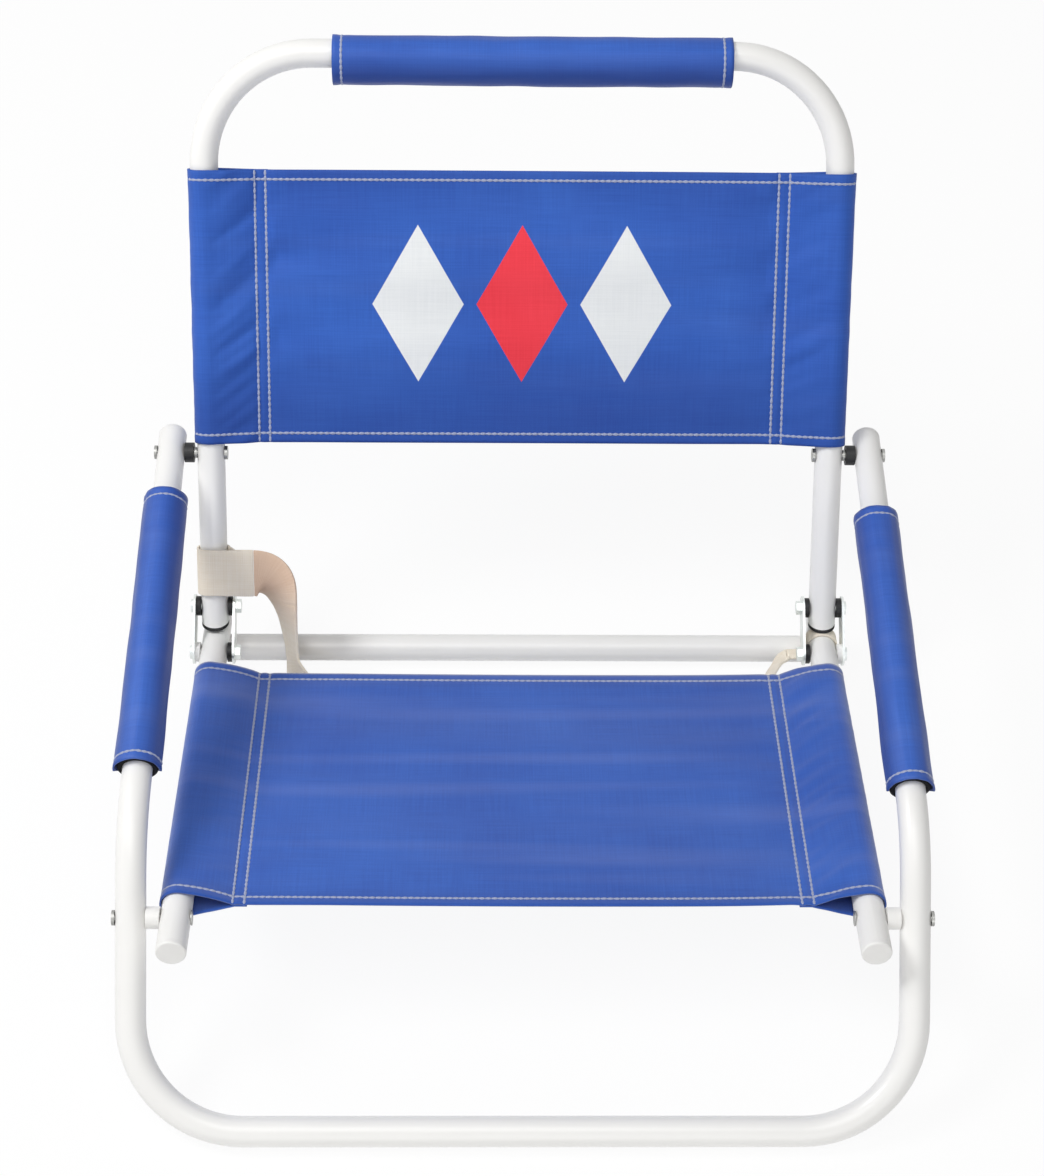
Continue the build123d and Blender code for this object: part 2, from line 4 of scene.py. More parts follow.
import bmesh
import bpy
from mathutils import Matrix, Vector, noise
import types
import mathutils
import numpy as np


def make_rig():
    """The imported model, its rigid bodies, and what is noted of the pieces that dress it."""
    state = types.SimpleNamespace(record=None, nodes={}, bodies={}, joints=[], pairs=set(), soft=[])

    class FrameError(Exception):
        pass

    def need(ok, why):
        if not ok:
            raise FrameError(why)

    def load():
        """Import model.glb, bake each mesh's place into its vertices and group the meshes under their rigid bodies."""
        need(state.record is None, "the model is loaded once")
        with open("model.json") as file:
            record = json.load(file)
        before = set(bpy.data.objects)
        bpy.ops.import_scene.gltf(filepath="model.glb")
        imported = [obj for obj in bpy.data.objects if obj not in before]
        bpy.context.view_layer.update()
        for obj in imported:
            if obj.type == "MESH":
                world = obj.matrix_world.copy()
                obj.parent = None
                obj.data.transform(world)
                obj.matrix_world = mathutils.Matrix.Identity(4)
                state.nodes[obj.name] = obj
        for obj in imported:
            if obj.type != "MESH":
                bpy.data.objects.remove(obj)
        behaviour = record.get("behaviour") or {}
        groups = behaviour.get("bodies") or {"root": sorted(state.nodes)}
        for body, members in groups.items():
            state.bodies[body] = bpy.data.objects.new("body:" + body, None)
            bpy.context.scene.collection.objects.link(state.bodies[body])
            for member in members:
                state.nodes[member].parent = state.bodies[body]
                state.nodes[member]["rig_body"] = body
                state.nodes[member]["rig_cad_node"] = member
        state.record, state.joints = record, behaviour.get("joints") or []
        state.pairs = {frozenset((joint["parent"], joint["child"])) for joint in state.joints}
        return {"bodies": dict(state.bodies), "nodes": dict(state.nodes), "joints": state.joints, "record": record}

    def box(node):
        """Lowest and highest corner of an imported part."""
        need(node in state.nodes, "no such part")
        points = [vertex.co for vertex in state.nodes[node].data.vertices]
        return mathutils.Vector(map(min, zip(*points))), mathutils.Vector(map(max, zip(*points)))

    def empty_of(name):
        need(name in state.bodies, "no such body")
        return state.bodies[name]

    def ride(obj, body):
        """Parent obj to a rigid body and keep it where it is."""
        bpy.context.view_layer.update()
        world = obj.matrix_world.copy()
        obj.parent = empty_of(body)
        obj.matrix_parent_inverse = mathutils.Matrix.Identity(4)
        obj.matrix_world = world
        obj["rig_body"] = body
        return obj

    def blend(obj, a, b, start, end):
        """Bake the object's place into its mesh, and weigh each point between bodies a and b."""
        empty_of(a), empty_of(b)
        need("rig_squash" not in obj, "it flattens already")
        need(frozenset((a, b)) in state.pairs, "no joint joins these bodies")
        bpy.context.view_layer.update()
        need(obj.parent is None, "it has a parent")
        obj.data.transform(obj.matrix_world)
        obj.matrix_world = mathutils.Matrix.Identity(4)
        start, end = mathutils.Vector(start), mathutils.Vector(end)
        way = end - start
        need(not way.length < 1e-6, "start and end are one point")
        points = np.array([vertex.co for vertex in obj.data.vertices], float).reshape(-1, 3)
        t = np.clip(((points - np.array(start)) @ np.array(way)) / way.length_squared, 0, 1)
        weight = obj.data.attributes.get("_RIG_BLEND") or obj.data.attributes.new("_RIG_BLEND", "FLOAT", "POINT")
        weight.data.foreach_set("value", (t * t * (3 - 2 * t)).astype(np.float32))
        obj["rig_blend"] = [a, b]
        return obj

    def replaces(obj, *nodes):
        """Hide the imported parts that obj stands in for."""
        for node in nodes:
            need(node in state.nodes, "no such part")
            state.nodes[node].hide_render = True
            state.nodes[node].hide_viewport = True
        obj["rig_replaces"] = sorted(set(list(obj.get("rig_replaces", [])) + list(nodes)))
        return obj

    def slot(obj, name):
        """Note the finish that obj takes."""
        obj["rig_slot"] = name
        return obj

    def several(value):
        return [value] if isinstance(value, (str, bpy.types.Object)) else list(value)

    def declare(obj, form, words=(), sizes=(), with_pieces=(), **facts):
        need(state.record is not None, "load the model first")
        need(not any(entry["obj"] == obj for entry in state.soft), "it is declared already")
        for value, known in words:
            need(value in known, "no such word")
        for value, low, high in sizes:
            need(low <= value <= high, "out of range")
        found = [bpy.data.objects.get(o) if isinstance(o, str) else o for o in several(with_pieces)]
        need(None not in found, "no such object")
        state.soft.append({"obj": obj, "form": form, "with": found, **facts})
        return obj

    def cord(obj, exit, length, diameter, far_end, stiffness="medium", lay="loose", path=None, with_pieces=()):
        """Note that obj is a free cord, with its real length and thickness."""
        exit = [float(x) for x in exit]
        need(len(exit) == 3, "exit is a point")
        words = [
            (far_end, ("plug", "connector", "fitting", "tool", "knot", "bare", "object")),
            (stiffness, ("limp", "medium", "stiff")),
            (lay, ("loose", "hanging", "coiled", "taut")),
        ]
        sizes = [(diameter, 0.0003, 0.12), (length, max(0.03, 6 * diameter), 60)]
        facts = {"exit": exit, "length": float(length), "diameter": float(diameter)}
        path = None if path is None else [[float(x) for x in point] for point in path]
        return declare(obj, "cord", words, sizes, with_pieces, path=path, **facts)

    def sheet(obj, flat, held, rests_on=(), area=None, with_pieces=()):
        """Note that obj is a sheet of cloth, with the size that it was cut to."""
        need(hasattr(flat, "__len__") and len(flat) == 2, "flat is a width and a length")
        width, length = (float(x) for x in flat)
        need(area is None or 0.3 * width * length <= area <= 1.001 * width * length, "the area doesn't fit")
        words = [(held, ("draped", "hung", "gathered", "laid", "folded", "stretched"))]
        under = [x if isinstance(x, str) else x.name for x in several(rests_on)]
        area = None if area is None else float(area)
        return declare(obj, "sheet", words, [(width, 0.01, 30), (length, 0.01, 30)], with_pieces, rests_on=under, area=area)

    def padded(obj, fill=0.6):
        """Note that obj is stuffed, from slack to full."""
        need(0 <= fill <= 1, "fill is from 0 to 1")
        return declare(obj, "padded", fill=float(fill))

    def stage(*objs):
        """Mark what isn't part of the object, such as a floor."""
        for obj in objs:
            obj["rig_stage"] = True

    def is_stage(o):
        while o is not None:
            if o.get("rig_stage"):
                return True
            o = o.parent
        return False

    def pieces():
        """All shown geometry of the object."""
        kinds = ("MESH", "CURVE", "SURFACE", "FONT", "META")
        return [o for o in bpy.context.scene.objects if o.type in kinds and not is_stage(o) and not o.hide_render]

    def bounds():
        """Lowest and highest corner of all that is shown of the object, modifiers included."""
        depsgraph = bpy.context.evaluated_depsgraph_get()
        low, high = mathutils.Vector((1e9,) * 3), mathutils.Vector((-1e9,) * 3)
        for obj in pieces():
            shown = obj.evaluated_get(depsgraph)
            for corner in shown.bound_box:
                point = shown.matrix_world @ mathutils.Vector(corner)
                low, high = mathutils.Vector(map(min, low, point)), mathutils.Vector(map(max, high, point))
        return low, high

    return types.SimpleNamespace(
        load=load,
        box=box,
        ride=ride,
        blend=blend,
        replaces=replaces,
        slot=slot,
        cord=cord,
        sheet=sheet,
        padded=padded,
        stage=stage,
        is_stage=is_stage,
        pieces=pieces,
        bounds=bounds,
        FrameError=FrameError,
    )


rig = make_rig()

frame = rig.load()
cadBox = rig.bounds()
scene = bpy.context.scene
nodes = frame["nodes"]
record = frame["record"]
mm = 0.001


# Places read from the frame

def middle(node):
    low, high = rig.box(node)
    return (low + high) / 2


jointPlace = {joint["name"]: Vector(joint["pos_m"]) for joint in record["behaviour"]["joints"]}
mountPlace = {mount["name"]: Vector(mount["pos_m"]) for mount in record["mounts"]}
across = Vector((1, 0, 0))
upright = Vector((0, 0, 1))
frontBar = mountPlace["front_bar"]
seatPivot = jointPlace["arm_fold"]
lowerHinge = jointPlace["link_fold"]
upperHinge = jointPlace["back_fold"]
backPivot = middle("back_pivot_rivets")
backPivot.x = 0
tubeRadius = frontBar.z
sideX = middle("seat_tube_right").x
armX = middle("arm_end_cap_right").x
seatDir = (lowerHinge - seatPivot).normalized()
seatUp = across.cross(seatDir)
backDir = (backPivot - upperHinge).normalized()
backFront = across.cross(backDir)
armSlope = radians(2)
armDir = Vector((0, cos(armSlope), sin(armSlope)))
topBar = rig.box("back_frame")[1] - Vector((0, tubeRadius, tubeRadius))
topBar.x = 0
cloth = 1.2 * mm


# Materials

def linear(hexColour):
    parts = [int(hexColour[i:i + 2], 16) / 255 for i in (1, 3, 5)]
    return [c / 12.92 if c <= 0.04045 else ((c + 0.055) / 1.055) ** 2.4 for c in parts] + [1]


def scaleOf(millimetres):
    # A noise texture's scale for blotches of about this size
    return 1 / (millimetres * mm)


def addNode(tree, kind, inputs=None, **settings):
    # An input is a value, a socket, or another node, whose first output in use is taken
    node = tree.nodes.new("ShaderNode" + kind)
    for name, value in settings.items():
        setattr(node, name, value)
    for socket, value in (inputs or {}).items():
        if isinstance(value, bpy.types.Node):
            value = next(output for output in value.outputs if output.enabled)
        if isinstance(value, bpy.types.NodeSocket):
            tree.links.new(value, node.inputs[socket])
        else:
            node.inputs[socket].default_value = value
    return node


def emptyMaterial(name):
    material = bpy.data.materials.new(name)
    material.use_nodes = True
    material.node_tree.nodes.clear()
    return material, material.node_tree


def powderCoat():
    # Powder-coated steel: white, half gloss, with a faint orange peel
    material, tree = emptyMaterial("white_powder_coat")
    place = addNode(tree, "TexCoord").outputs["Object"]
    cloudy = addNode(tree, "TexNoise", {"Vector": place, "Scale": scaleOf(70), "Detail": 3.0})
    peel = addNode(tree, "TexNoise", {"Vector": place, "Scale": scaleOf(1.1), "Detail": 1.0})
    colour = addNode(tree, "Mix", {0: cloudy, 6: linear("#F0EFEC"), 7: linear("#F6F5F3")}, data_type="RGBA")
    gloss = addNode(tree, "MapRange", {0: cloudy, 1: 0.3, 2: 0.7, 3: 0.34, 4: 0.44})
    relief = addNode(tree, "Bump", {"Height": peel, "Distance": 0.05 * mm, "Strength": 0.35})
    sockets = {"Base Color": colour, "Roughness": gloss, "Normal": relief, "IOR": 1.5, "Coat Weight": 0.15}
    shader = addNode(tree, "BsdfPrincipled", sockets)
    addNode(tree, "OutputMaterial", {"Surface": shader})
    return material


def mouldedPlastic(name, dark, light, roughness):
    # Injection-moulded plastic: even colour under a fine matt grain
    material, tree = emptyMaterial(name)
    place = addNode(tree, "TexCoord").outputs["Object"]
    cloudy = addNode(tree, "TexNoise", {"Vector": place, "Scale": scaleOf(16), "Detail": 3.0})
    grain = addNode(tree, "TexNoise", {"Vector": place, "Scale": scaleOf(0.4), "Detail": 2.0})
    colour = addNode(tree, "Mix", {0: cloudy, 6: linear(dark), 7: linear(light)}, data_type="RGBA")
    gloss = addNode(tree, "MapRange", {0: cloudy, 1: 0.3, 2: 0.7, 3: roughness, 4: roughness + 0.1})
    relief = addNode(tree, "Bump", {"Height": grain, "Distance": 0.03 * mm, "Strength": 0.5})
    sockets = {"Base Color": colour, "Roughness": gloss, "Normal": relief, "IOR": 1.47}
    shader = addNode(tree, "BsdfPrincipled", sockets)
    addNode(tree, "OutputMaterial", {"Surface": shader})
    return material


def steel(name, dark, light, roughness):
    # Bare or zinc-plated steel: soft blotches and fine scuffs along one way
    material, tree = emptyMaterial(name)
    place = addNode(tree, "TexCoord").outputs["Object"]
    blotch = addNode(tree, "TexNoise", {"Vector": place, "Scale": scaleOf(5), "Detail": 4.0})
    drawn = addNode(tree, "Mapping", {"Vector": place, "Scale": (1.0, 0.15, 1.0)})
    scuff = addNode(tree, "TexNoise", {"Vector": drawn, "Scale": scaleOf(1.4), "Detail": 2.0})
    colour = addNode(tree, "Mix", {0: blotch, 6: linear(dark), 7: linear(light)}, data_type="RGBA")
    gloss = addNode(tree, "MapRange", {0: scuff, 1: 0.3, 2: 0.7, 3: roughness, 4: roughness + 0.18})
    relief = addNode(tree, "Bump", {"Height": scuff, "Distance": 0.03 * mm, "Strength": 0.4})
    sockets = {"Base Color": colour, "Roughness": gloss, "Normal": relief, "Metallic": 1.0}
    shader = addNode(tree, "BsdfPrincipled", sockets)
    addNode(tree, "OutputMaterial", {"Surface": shader})
    return material


def yarnColour(tree, place, dark, light):
    # Yarn-dyed cotton: slow fading over the sheet and single threads that took the dye unevenly
    fade = addNode(tree, "TexNoise", {"Vector": place, "Scale": scaleOf(140), "Detail": 4.0})
    warpwise = addNode(tree, "Mapping", {"Vector": place, "Scale": (scaleOf(1.1), scaleOf(45), 1.0)})
    weftwise = addNode(tree, "Mapping", {"Vector": place, "Scale": (scaleOf(45), scaleOf(1.1), 1.0)})
    warp = addNode(tree, "TexNoise", {"Vector": warpwise, "Scale": 1.0, "Detail": 2.0})
    weft = addNode(tree, "TexNoise", {"Vector": weftwise, "Scale": 1.0, "Detail": 2.0})
    threads = addNode(tree, "Math", {0: warp, 1: weft}, operation="ADD")
    slow = addNode(tree, "Math", {0: fade, 1: 0.55}, operation="MULTIPLY")
    share = addNode(tree, "Math", {0: threads, 1: 0.225, 2: slow}, operation="MULTIPLY_ADD")
    spread = addNode(tree, "MapRange", {0: share, 1: 0.36, 2: 0.64})
    return addNode(tree, "Mix", {0: spread, 6: linear(dark), 7: linear(light)}, data_type="RGBA")


def bandScale(millimetres):
    # A wave texture's bands repeat every tau / 20 at scale 1
    return tau / 20 / (millimetres * mm)


def canvas(name, wearAndShade, diamonds=(), rubAndSheen=0.0, sheen=0.1, roughness=0.78, specular=0.4):
    # Plain-woven cotton canvas, dyed blue: matt, with a soft sheen, pale streaks along its folds that are
    # partly rubbed wear and partly painted sheen, and painted shade: deeper blue away from a lit band,
    # where the light falls off. Its threads are 0.8 mm apart, a little coarser than real ones, so that they show.
    material, tree = emptyMaterial(name)
    coords = addNode(tree, "TexCoord")
    place = coords.outputs["UV"]
    dyed = yarnColour(tree, place, dye["dark"], dye["light"])
    # Pale streaks along the folds: partly rubbed wear, partly painted sheen
    folded = addNode(tree, "Mapping", {"Vector": place, "Scale": (scaleOf(640), scaleOf(34), 1.0)})
    crease = addNode(tree, "TexNoise", {"Vector": folded, "Scale": 1.0, "Detail": 1.0})
    paler = addNode(tree, "MapRange", {0: crease, 1: 0.5, 2: 0.75, 3: 0.0, 4: rubAndSheen})
    colour = addNode(tree, "Mix", {0: paler, 6: dyed, 7: linear("#9FA9D6")}, data_type="RGBA")
    split = addNode(tree, "SeparateXYZ", {0: place})
    # Painted shade: deeper blue mixed in away from the lit band, where the light falls off
    wayAlong = split.outputs[wearAndShade["way"]]
    offMiddle = addNode(tree, "Math", {0: wayAlong, 1: wearAndShade["middle"]}, operation="SUBTRACT")
    aside = addNode(tree, "Math", {0: offMiddle}, operation="ABSOLUTE")
    shadeRamp = {0: aside, 1: wearAndShade["inner"], 2: wearAndShade["outer"], 3: 0.0, 4: wearAndShade["share"]}
    shadedShare = addNode(tree, "MapRange", shadeRamp)
    colour = addNode(tree, "Mix", {0: shadedShare, 6: colour, 7: linear(dye["deep"])}, data_type="RGBA")
    facing = addNode(tree, "VectorMath", {0: coords.outputs["Normal"], 1: backFront}, operation="DOT_PRODUCT")
    printed = addNode(tree, "MapRange", {0: facing, 1: 0.0, 2: 0.2})  # ink lies on the front only
    for spec in diamonds:
        offAcross = addNode(tree, "Math", {0: split.outputs[0], 1: spec["across"]}, operation="SUBTRACT")
        offUp = addNode(tree, "Math", {0: split.outputs[1], 1: spec["rise"]}, operation="SUBTRACT")
        sideways = addNode(tree, "Math", {0: offAcross}, operation="ABSOLUTE")
        upwards = addNode(tree, "Math", {0: offUp}, operation="ABSOLUTE")
        reach = addNode(tree, "Math", {0: sideways, 1: spec["halfWidth"]}, operation="DIVIDE")
        rise = addNode(tree, "Math", {0: upwards, 1: spec["halfHeight"]}, operation="DIVIDE")
        share = addNode(tree, "Math", {0: reach, 1: rise}, operation="ADD")
        inside = addNode(tree, "MapRange", {0: share, 1: 1.006, 2: 0.994})
        inked = addNode(tree, "Math", {0: inside, 1: printed}, operation="MULTIPLY")
        ink = yarnColour(tree, place, spec["dark"], spec["light"])
        colour = addNode(tree, "Mix", {0: inked, 6: colour, 7: ink}, data_type="RGBA")
    patchy = addNode(tree, "TexNoise", {"Vector": place, "Scale": scaleOf(60), "Detail": 3.0})
    gloss = addNode(tree, "MapRange", {0: patchy, 1: 0.3, 2: 0.7, 3: roughness, 4: roughness + 0.12})
    warp = addNode(tree, "TexWave", {"Vector": place, "Scale": bandScale(0.8)}, bands_direction="X")
    weft = addNode(tree, "TexWave", {"Vector": place, "Scale": bandScale(0.8)}, bands_direction="Y")
    weave = addNode(tree, "Math", {0: warp, 1: weft}, operation="MULTIPLY")
    relief = addNode(tree, "Bump", {"Height": weave, "Distance": 0.12 * mm, "Strength": 0.6})
    sockets = {"Base Color": colour, "Roughness": gloss, "Normal": relief, "IOR": 1.4}
    sockets.update({"Specular IOR Level": specular, "Sheen Weight": sheen, "Sheen Roughness": 0.5})
    shader = addNode(tree, "BsdfPrincipled", sockets)
    addNode(tree, "OutputMaterial", {"Surface": shader})
    return material


def webbing(name, shadeStrength, unshadedFrom=62 * mm):
    # Cotton webbing, unbleached: fuzzy and matt, with ribs 1.6 mm apart across the band, and painted
    # shade: warm brown near its start, where the band lies in shade
    material, tree = emptyMaterial(name)
    place = addNode(tree, "TexCoord").outputs["UV"]
    creamYarn = yarnColour(tree, place, "#EADDC8", "#FAF4E9")
    # Painted shade: a warm brown mixed in near the band's start, fading out further along
    fromStart = addNode(tree, "SeparateXYZ", {0: place}).outputs[0]
    shadeFade = {0: fromStart, 1: unshadedFrom - 40 * mm, 2: unshadedFrom, 3: shadeStrength, 4: 0.0}
    brownShade = addNode(tree, "MapRange", shadeFade)
    colour = addNode(tree, "Mix", {0: brownShade, 6: creamYarn, 7: linear("#CFA07E")}, data_type="RGBA")
    wearAndShade = addNode(tree, "TexNoise", {"Vector": place, "Scale": scaleOf(25), "Detail": 3.0})
    gloss = addNode(tree, "MapRange", {0: wearAndShade, 1: 0.3, 2: 0.7, 3: 0.82, 4: 0.95})
    rib = addNode(tree, "TexWave", {"Vector": place, "Scale": bandScale(1.6)}, bands_direction="X")
    yarn = addNode(tree, "TexWave", {"Vector": place, "Scale": bandScale(0.9)}, bands_direction="Y")
    height = addNode(tree, "Math", {0: yarn, 1: 0.4, 2: rib.outputs["Fac"]}, operation="MULTIPLY_ADD")
    relief = addNode(tree, "Bump", {"Height": height, "Distance": 0.18 * mm, "Strength": 0.6})
    sockets = {"Base Color": colour, "Roughness": gloss, "Normal": relief, "IOR": 1.4}
    sockets.update({"Specular IOR Level": 0.25, "Sheen Weight": 0.2})
    shader = addNode(tree, "BsdfPrincipled", sockets)
    addNode(tree, "OutputMaterial", {"Surface": shader})
    return material


def foamRubber():
    # Black closed-cell foam: dull, with open cells about 1 mm wide on its cut ends
    material, tree = emptyMaterial("black_foam")
    place = addNode(tree, "TexCoord").outputs["Object"]
    cells = addNode(tree, "TexVoronoi", {"Vector": place, "Scale": scaleOf(1.1)})
    cloudy = addNode(tree, "TexNoise", {"Vector": place, "Scale": scaleOf(12), "Detail": 3.0})
    colour = addNode(tree, "Mix", {0: cloudy, 6: linear("#0C0C0E"), 7: linear("#1B1B1E")}, data_type="RGBA")
    gloss = addNode(tree, "MapRange", {0: cells, 1: 0.0, 2: 0.6, 3: 0.75, 4: 0.95})
    relief = addNode(tree, "Bump", {"Height": cells, "Distance": 0.2 * mm, "Strength": 0.6})
    sockets = {"Base Color": colour, "Roughness": gloss, "Normal": relief, "Specular IOR Level": 0.25}
    shader = addNode(tree, "BsdfPrincipled", sockets)
    addNode(tree, "OutputMaterial", {"Surface": shader})
    return material


def sewingThread():
    # Spun polyester thread, pale against the canvas, with a slight fuzz
    material, tree = emptyMaterial("pale_thread")
    place = addNode(tree, "TexCoord").outputs["Object"]
    fuzz = addNode(tree, "TexNoise", {"Vector": place, "Scale": scaleOf(0.7), "Detail": 2.0})
    colour = addNode(tree, "Mix", {0: fuzz, 6: linear("#8E97B8"), 7: linear("#B4BBD2")}, data_type="RGBA")
    gloss = addNode(tree, "MapRange", {0: fuzz, 1: 0.3, 2: 0.7, 3: 0.7, 4: 0.9})
    relief = addNode(tree, "Bump", {"Height": fuzz, "Distance": 0.08 * mm, "Strength": 0.5})
    sockets = {"Base Color": colour, "Roughness": gloss, "Normal": relief, "Sheen Weight": 0.2}
    shader = addNode(tree, "BsdfPrincipled", sockets)
    addNode(tree, "OutputMaterial", {"Surface": shader})
    return material


dye = {"deep": "#1C3A86", "dark": "#2953AE", "light": "#3668C6"}
white = {"dark": "#E6E9EA", "light": "#F5F7F7"}
red = {"dark": "#EE3443", "light": "#FB4553"}
diamond = {"rise": 112 * mm, "halfWidth": 36 * mm, "halfHeight": 62 * mm}
printRow = [{"across": place * mm, **diamond, **ink} for place, ink in ((-82, white), (0, red), (82, white))]
# Where each sheet is lit most, with painted shade deepening away from there: across it (0) or along it (1), and how
# far off the deeper blue begins
# Arms and headrest: a painted highlight band along the top, with painted shade down both sides
armShade = {"way": 0, "middle": 31 * mm, "inner": 3 * mm, "outer": 18 * mm, "share": 0.7}
headrestShade = {"way": 0, "middle": 37 * mm, "inner": 4 * mm, "outer": 22 * mm, "share": 0.7}
# Seat: painted shade near the front and rear hems. Back: painted shade, darker towards the bottom and a little towards
# the top
seatHemShade = {"way": 1, "middle": 131 * mm, "inner": 112 * mm, "outer": 126 * mm, "share": 0.25}
backShade = {"way": 1, "middle": 132 * mm, "inner": 45 * mm, "outer": 112 * mm, "share": 0.45}
looks = {
    "tube": powderCoat(),
    "whitePlastic": mouldedPlastic("white_plastic", "#ECEBE8", "#F6F5F3", 0.38),
    "blackPlastic": mouldedPlastic("black_nylon", "#0B0B0C", "#17171A", 0.45),
    "rivet": steel("steel_rivet", "#8F8F8D", "#B4B4B1", 0.3),
    "zinc": steel("zinc_plating", "#DCE1DE", "#EEF1EF", 0.4),
    "armCanvas": canvas("arm_blue_canvas", armShade, rubAndSheen=0.1, roughness=0.42, specular=0.6),
    "headrestCanvas": canvas("headrest_blue_canvas", headrestShade, roughness=0.46, specular=0.45),
    "seatCanvas": canvas("seat_blue_canvas", seatHemShade, rubAndSheen=0.2, sheen=0.5),
    "printedCanvas": canvas("printed_blue_canvas", backShade, printRow, rubAndSheen=0.04, roughness=0.6),
    "webbing": webbing("cotton_webbing", 0.0),
    "shadedWebbing": webbing("shaded_webbing", 0.6),
    "lowerWebbing": webbing("lower_webbing", 0.6, 26 * mm),
    "foam": foamRubber(),
    "thread": sewingThread(),
}
bothSides = ("left", "right")
nodeLooks = {
    "tube": ["arm_loop", "back_frame", "seat_tube_left", "seat_tube_right", "rear_floor_bar"],
    "whitePlastic": ["seat_pivot_spacers", "lower_hinge_outer_washers"],
    "blackPlastic": ["arm_pivot_spacers", "upper_hinge_washers", "lower_hinge_inner_washers"],
    "rivet": ["seat_pivot_rivets", "arm_pivot_rivets", "back_pivot_rivets"],
    "zinc": ["upper_hinge_bolts", "lower_hinge_bolts", "upper_hinge_nuts", "lower_hinge_nuts"],
}
for side in bothSides:
    caps = ("arm_end_cap", "seat_front_cap", "seat_rear_plug", "floor_bar_plug")
    nodeLooks["whitePlastic"] += [f"{cap}_{side}" for cap in caps]
    nodeLooks["blackPlastic"].append(f"back_foot_plug_{side}")
    nodeLooks["zinc"] += [f"hinge_plate_{side}_{face}" for face in ("inner", "outer")]
for look, names in nodeLooks.items():
    for name in names:
        nodes[name].data.materials.clear()
        nodes[name].data.materials.append(looks[look])
print("materials ready")


# Cloth and thread helpers

def finishPiece(name, mesh, look, slot=None, replaced=()):
    piece = bpy.data.objects.new(name, mesh)
    scene.collection.objects.link(piece)
    mesh.materials.append(looks[look])
    mesh.shade_smooth()
    if slot:
        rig.slot(piece, slot)
    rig.replaces(piece, *replaced)
    return piece


def closeShape(name, shape):
    bmesh.ops.recalc_face_normals(shape, faces=shape.faces)
    mesh = bpy.data.meshes.new(name)
    shape.to_mesh(mesh)
    shape.free()
    return mesh


def bendGrid(name, columns, rows, place, flat, rolled=False):
    # A flat grid bent into shape: for a column and a row, place gives the point in space
    # and flat the spot on the cloth before it was sewn
    shape = bmesh.new()
    bmesh.ops.create_grid(shape, x_segments=columns, y_segments=rows, size=0.5)
    uvLayer = shape.loops.layers.uv.new("flat")
    for vertex in shape.verts:
        column = round((vertex.co.x + 0.5) * columns)
        row = round((vertex.co.y + 0.5) * rows)
        for corner in vertex.link_loops:
            corner[uvLayer].uv = flat(column, row)
        vertex.co = place(column, row)
    if rolled:
        bmesh.ops.remove_doubles(shape, verts=shape.verts, dist=0.001 * mm)
    return closeShape(name, shape)


def thicken(piece, thickness):
    solid = piece.modifiers.new("cloth_thickness", "SOLIDIFY")
    solid.thickness = thickness
    solid.offset = 0
    solid.use_even_offset = True


# Thread is drawn thicker than real thread, so that the rows show
stitch = {"pitch": 4.6 * mm, "radius": 1.25 * mm, "flatness": 0.6, "overlap": 0.12}


def sewRows(name, rows, body):
    # Each row is a function that gives a point and an outward direction at a distance, and a length
    radius, overlap = stitch["radius"], stitch["overlap"]
    whole = bmesh.new()
    for place, length in rows:
        row = bmesh.new()
        count = max(2, floor(length / stitch["pitch"]))
        for k in range(count):
            start, outward = place(max(k - overlap, 0) * length / count)
            end, outwardThere = place(min(k + 1 + overlap, count - 0.01) * length / count)
            run = (end - start) / 2
            outward = (outward + outwardThere).normalized()
            sideways = run.cross(outward).normalized()
            lift = outward * radius * stitch["flatness"]
            turned = Matrix((run, sideways * radius, lift)).transposed().to_4x4()
            matrix = Matrix.Translation((start + end) / 2) @ turned
            bmesh.ops.create_uvsphere(row, u_segments=6, v_segments=5, radius=1, matrix=matrix)
        rowMesh = closeShape(name, row)
        whole.from_mesh(rowMesh)
        bpy.data.meshes.remove(rowMesh)
    piece = finishPiece(name, closeShape(name, whole), "thread")
    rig.ride(piece, body)
    return piece


def bell(distance, width):
    return exp(-((distance / width) ** 2))


# Slings: one sheet each, turned round the side tubes and sewn to itself

seatSling = {
    "name": "seat",
    "start": seatPivot + seatDir * (12.5 * mm),
    "dir": seatDir,
    "up": seatUp,
    "length": 263 * mm,
    "sag": 1.5 * mm,
    "look": "seatCanvas",
    "tubes": ["seat_tube_left", "seat_tube_right"],
    "seed": 3.1,
    "ripple": 1.4 * mm,
    "bands": 2.0 * mm,
    "dome": 0.0,
    "slack": 1.8 * mm,
    "pockets": {-1: {"ripple": 0.9 * mm, "lean": 0.3}, 1: {"ripple": 2.6 * mm, "lean": -0.6}},
}
backSling = {
    "name": "back",
    "start": backPivot + backDir * (9 * mm),
    "dir": backDir,
    "up": backFront,
    "length": 216 * mm,
    "sag": 1.5 * mm,
    "look": "printedCanvas",
    "tubes": ["back_frame"],
    "seed": 8.7,
    "ripple": 4.6 * mm,
    "bands": 3.4 * mm,
    "dome": 4.0 * mm,
    "slack": 0.8 * mm,
    "pockets": {-1: {"ripple": 4.4 * mm, "lean": 0.7}, 1: {"ripple": 2.4 * mm, "lean": -0.5}},
}
outerRow = sideX - 39 * mm  # the two rows of stitches that close a pocket
innerRow = sideX - 47.5 * mm
cutEdge = sideX - 49.5 * mm  # where the turned-under layer ends
parting = sideX - 40.5 * mm  # where the two layers part to go round the tube
hemWidth = 9 * mm
hemRowIn = hemWidth - 1.5 * mm  # how far in from the edge the hem's stitches are
# How many times a metre each kind of wrinkle comes, across the sheet and along it
wrinkles = {"pull": (9, 46), "crinkle": (16, 105), "ripple": (7, 48), "band": (1.8, 26)}
pocketRadius = tubeRadius + 0.4 * mm + cloth / 2
touchTurn = atan2(cloth / 2, parting - sideX) - acos(pocketRadius / hypot(sideX - parting, cloth / 2))
touchX = sideX + pocketRadius * cos(touchTurn)
touchY = pocketRadius * sin(touchTurn)


